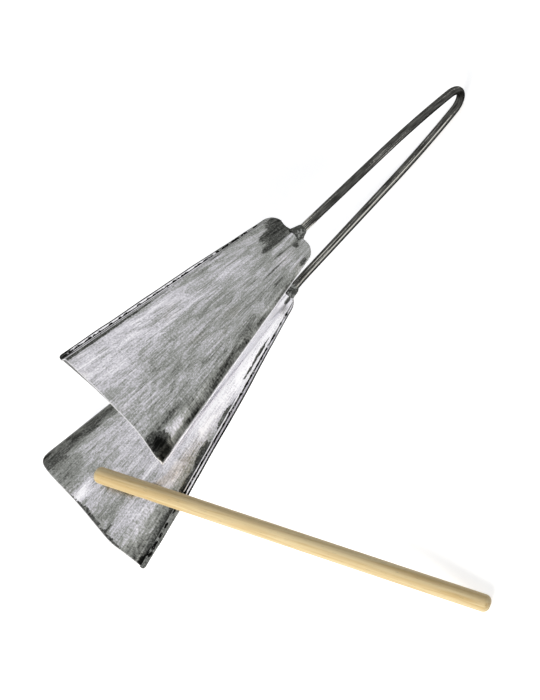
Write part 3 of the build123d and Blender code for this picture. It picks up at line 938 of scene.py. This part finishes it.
def sanded_dowel(finish):
    """Pale hardwood dowel, sanded and unvarnished: grain lines run along it, a few dark pores."""
    material, tree = blank("Sanded hardwood dowel")
    low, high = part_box("beater")
    along = Vector((low.x, low.y, high.z)) - Vector((high.x, high.y, low.z))
    turned = along.to_track_quat("Z", "Y").inverted().to_euler()
    place = add(tree, "TexCoord").outputs["Object"]
    spot = add(tree, "Mapping", {"Vector": place, "Rotation": turned})
    # grain lines about 2.4 mm apart, drawn out along the dowel; pores 0.4 mm wide and 7 mm long
    rings = add(tree, "Mapping", {"Vector": spot, "Scale": (420.0, 420.0, 9.0)})
    grain = add(tree, "TexNoise", {"Vector": rings, "Scale": 1.0, "Detail": 4.0, "Roughness": 0.55,
                                   "Distortion": 0.4})
    pores = add(tree, "Mapping", {"Vector": spot, "Scale": (2300.0, 2300.0, 150.0)})
    pore = add(tree, "TexNoise", {"Vector": pores, "Scale": 1.0, "Detail": 1.0})
    wood = add(tree, "ValToRGB", {0: grain}, stops=[(0.36, finish.wood_grain), (0.62, finish.wood_light)])
    deep = add(tree, "MapRange", {"Value": pore, "From Min": 0.66, "From Max": 0.74,
                                  "To Min": 1.0, "To Max": 0.72})
    colour = add(tree, "VectorMath", {0: wood, "Scale": deep}, operation="SCALE")
    bump = add(tree, "Bump", {"Height": grain, "Strength": 0.2, "Distance": 0.0001})
    return finished(material, {"Base Color": colour, "Roughness": 0.55, "IOR": 1.45, "Normal": bump})


def background_rays(tree):
    """What the light path says, and 1 for the rays that show the background."""
    path = add(tree, "LightPath").outputs
    seen = path["Is Camera Ray"]
    for ray in ("Is Glossy Ray", "Is Transmission Ray"):
        seen = add(tree, "Math", {0: seen, 1: path[ray]}, operation="MAXIMUM")
    return path, seen


def pale_floor(finish):
    """Matt white studio floor: white to the camera and in reflections, and it keeps the shadow."""
    material, tree = blank("Pale studio floor")
    path, seen = background_rays(tree)
    # away from the object, where the lamps fade, the floor goes over into the white surround
    away = add(tree, "VectorMath", {0: add(tree, "TexCoord").outputs["Object"]}, operation="LENGTH")
    fade = add(tree, "MapRange", {"Value": away, "From Min": 0.5, "From Max": 1.1, "To Max": 0.4},
               interpolation_type="SMOOTHSTEP")
    lift = add(tree, "Math", {0: fade, 1: path["Is Camera Ray"]}, operation="MULTIPLY")
    glow = add(tree, "Math", {0: seen, 1: 0.6, 2: lift}, operation="MULTIPLY_ADD")
    return finished(material, {
        "Base Color": rgba(finish.floor), "Roughness": 0.9, "Specular IOR Level": 0.0,
        "Emission Color": (1.0, 1.0, 1.0, 1.0), "Emission Strength": glow,
    })


# Operators


def bells(context):
    """Both bells, by the first word of their body's name."""
    scene = context.scene
    return {"high": Bell(scene.agogo_sizes, scene.agogo_high, 1),
            "low": Bell(scene.agogo_sizes, scene.agogo_low, -1)}


class AGOGO_OT_bells(Operator):
    """Fold both bells from sheet, with ledge, ridge, rim and inside"""

    bl_idname = "agogo.bells"
    bl_label = "Fold the bells"

    def execute(self, context):
        steel = plated_sheet_steel(context.scene.agogo_finish)
        looks = {"high": HIGH_LOOK, "low": LOW_LOOK}
        for name, bell in bells(context).items():
            made = bell_mesh(bell, f"{name}_bell_sheet", steel, looks[name])
            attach(made, f"{name}_bell")
            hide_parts(f"{name}_bell_shell")
        return {"FINISHED"}


class AGOGO_OT_tack_welds(Operator):
    """Lay the row of tack welds along each seam"""

    bl_idname = "agogo.tack_welds"
    bl_label = "Tack the seams"

    def execute(self, context):
        finish = context.scene.agogo_finish
        metal = weld_metal("Tack weld metal", finish.bead_dark, finish.bead_bright, bare_from=1.06)
        for name, bell in bells(context).items():
            made = bead_row(bell, f"{name}_seam_beads", metal)
            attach(made, f"{name}_bell")
            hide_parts(f"{name}_seam_welds")
        return {"FINISHED"}


class AGOGO_OT_crown_welds(Operator):
    """Run the weld fillet round the rod at each crown"""

    bl_idname = "agogo.crown_welds"
    bl_label = "Weld the crowns"

    def execute(self, context):
        finish = context.scene.agogo_finish
        metal = weld_metal("Fillet weld metal", finish.weld_dark, finish.weld_bright, bare_from=0.98)
        for name, bell in bells(context).items():
            made = crown_weld_mesh(bell, f"{name}_crown_fillet", metal)
            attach(made, f"{name}_bell")
            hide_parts(f"{name}_crown_weld")
        return {"FINISHED"}


class AGOGO_OT_rod(Operator):
    """Bend the hairpin rod; the real rod springs when the bells are squeezed"""

    bl_idname = "agogo.rod"
    bl_label = "Bend the rod"

    def execute(self, context):
        sizes = context.scene.agogo_sizes
        made = rod_mesh(sizes, "hairpin_rod", drawn_bar(context.scene.agogo_finish))
        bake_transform(made)
        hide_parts("handle_rod")
        return {"FINISHED"}


class AGOGO_OT_beater(Operator):
    """Finish the wooden beater"""

    bl_idname = "agogo.beater"
    bl_label = "Sand the beater"

    def execute(self, context):
        dowel = frame["nodes"]["beater"]
        dowel.data.materials.clear()
        dowel.data.materials.append(sanded_dowel(context.scene.agogo_finish))
        return {"FINISHED"}


FLOOR_REACH, FLOOR_DROP = 6.0, 0.0005  # half its width, and how far it lies under the object, in metres
SURROUND_LIGHT = 0.16  # strength of the white surround on matt surfaces
# Lamps as (name, watts, width and height, place, what it looks at, colour), in metres
LAMPS = [
    ("key", 17.0, 0.8, (0.55, -1.05, 0.85), (0.03, 0, 0.05), "#FFFBF4"),
    ("sky", 4.5, 1.2, (-0.45, 0.4, 1.3), (-0.05, 0, 0.05), "#F0F6FF"),
]
# The camera, fitted to the photograph: focal length and height in pixels, sensor in mm, place from
# the hinge in metres, and axes
FOCAL_PIXELS, PHOTO_HEIGHT, SENSOR = 1490.5, 700, 36
EYE = Vector((0.48616, -0.11784, 1.02478))
EYE_RIGHT = Vector((0.67546, 0.63276, -0.37864))
EYE_BACK = Vector((0.41606, 0.09690, 0.90417))


def panel_light(name, watts, width, spot, target, colour):
    """A soft, square area lamp that looks at a point."""
    lamp = bpy.data.lights.new(name, "AREA")
    lamp.shape = "RECTANGLE"
    lamp.size = lamp.size_y = width
    lamp.energy = watts
    lamp.color = linear(colour)
    made = bpy.data.objects.new(name, lamp)
    made.location = spot
    made.rotation_euler = (Vector(target) - Vector(spot)).to_track_quat("-Z", "Y").to_euler()
    made.visible_glossy = False
    bpy.context.scene.collection.objects.link(made)


def white_surround():
    """A world that is white to the camera and in reflections, and lights the rest softly."""
    world = bpy.data.worlds.new("White surround")
    world.use_nodes = True
    tree = world.node_tree
    tree.nodes.clear()
    _, seen = background_rays(tree)
    level = add(tree, "MapRange", {"Value": seen, "To Min": SURROUND_LIGHT, "To Max": 1.0})
    white = add(tree, "Background", {"Color": (1, 1, 1, 1), "Strength": level})
    add(tree, "OutputWorld", {"Surface": white})
    return world


class AGOGO_OT_stage(Operator):
    """Set the floor, lamps, white surround and camera"""

    bl_idname = "agogo.stage"
    bl_label = "Set the stage"

    def execute(self, context):
        scene = context.scene
        scene.view_settings.view_transform = "Standard"
        corners = [(x * FLOOR_REACH, y * FLOOR_REACH, 0) for x, y in ((-1, -1), (1, -1), (1, 1), (-1, 1))]
        floor = mesh_object("floor", corners, [(0, 1, 2, 3)], pale_floor(scene.agogo_finish))
        floor.location.z = -FLOOR_DROP
        scene.world = white_surround()
        for lamp in LAMPS:
            panel_light(*lamp)
        lens = bpy.data.cameras.new("camera")
        lens.lens = SENSOR * FOCAL_PIXELS / PHOTO_HEIGHT
        eye = bpy.data.objects.new("camera", lens)
        turned = Matrix((EYE_RIGHT, EYE_BACK.cross(EYE_RIGHT), EYE_BACK)).transposed().to_4x4()
        eye.matrix_world = Matrix.Translation(HINGE + EYE) @ turned
        scene.collection.objects.link(eye)
        scene.camera = eye
        return {"FINISHED"}


GROUPS = {
    "agogo_high": AgogoBellSizes,
    "agogo_low": AgogoBellSizes,
    "agogo_sizes": AgogoSizes,
    "agogo_finish": AgogoFinish,
}
STEPS = (AGOGO_OT_bells, AGOGO_OT_tack_welds, AGOGO_OT_crown_welds, AGOGO_OT_rod, AGOGO_OT_beater,
         AGOGO_OT_stage)


class AGOGO_PT_sidebar(Panel):
    """Steps that dress the agogo, and its sizes and colours"""

    bl_idname = "AGOGO_PT_sidebar"
    bl_label = "Double agogo bell"
    bl_space_type = "VIEW_3D"
    bl_region_type = "UI"
    bl_category = "Agogo"

    def draw(self, context):
        column = self.layout.column()
        for step in STEPS:
            column.operator(step.bl_idname)
        for group in GROUPS:
            values = getattr(context.scene, group)
            for name in values.__annotations__:
                column.prop(values, name)


CLASSES = (AgogoBellSizes, AgogoSizes, AgogoFinish, *STEPS, AGOGO_PT_sidebar)


def register():
    for kind in CLASSES:
        bpy.utils.register_class(kind)
    for name, group in GROUPS.items():
        setattr(bpy.types.Scene, name, PointerProperty(type=group))


def unregister():
    for name in GROUPS:
        delattr(bpy.types.Scene, name)
    for kind in reversed(CLASSES):
        bpy.utils.unregister_class(kind)


def main():
    register()
    for name, value in LOW_BELL.items():
        setattr(bpy.context.scene.agogo_low, name, value)
    for step in STEPS:
        group, name = step.bl_idname.split(".")
        getattr(getattr(bpy.ops, group), name)()


if __name__ == "__main__":
    main()
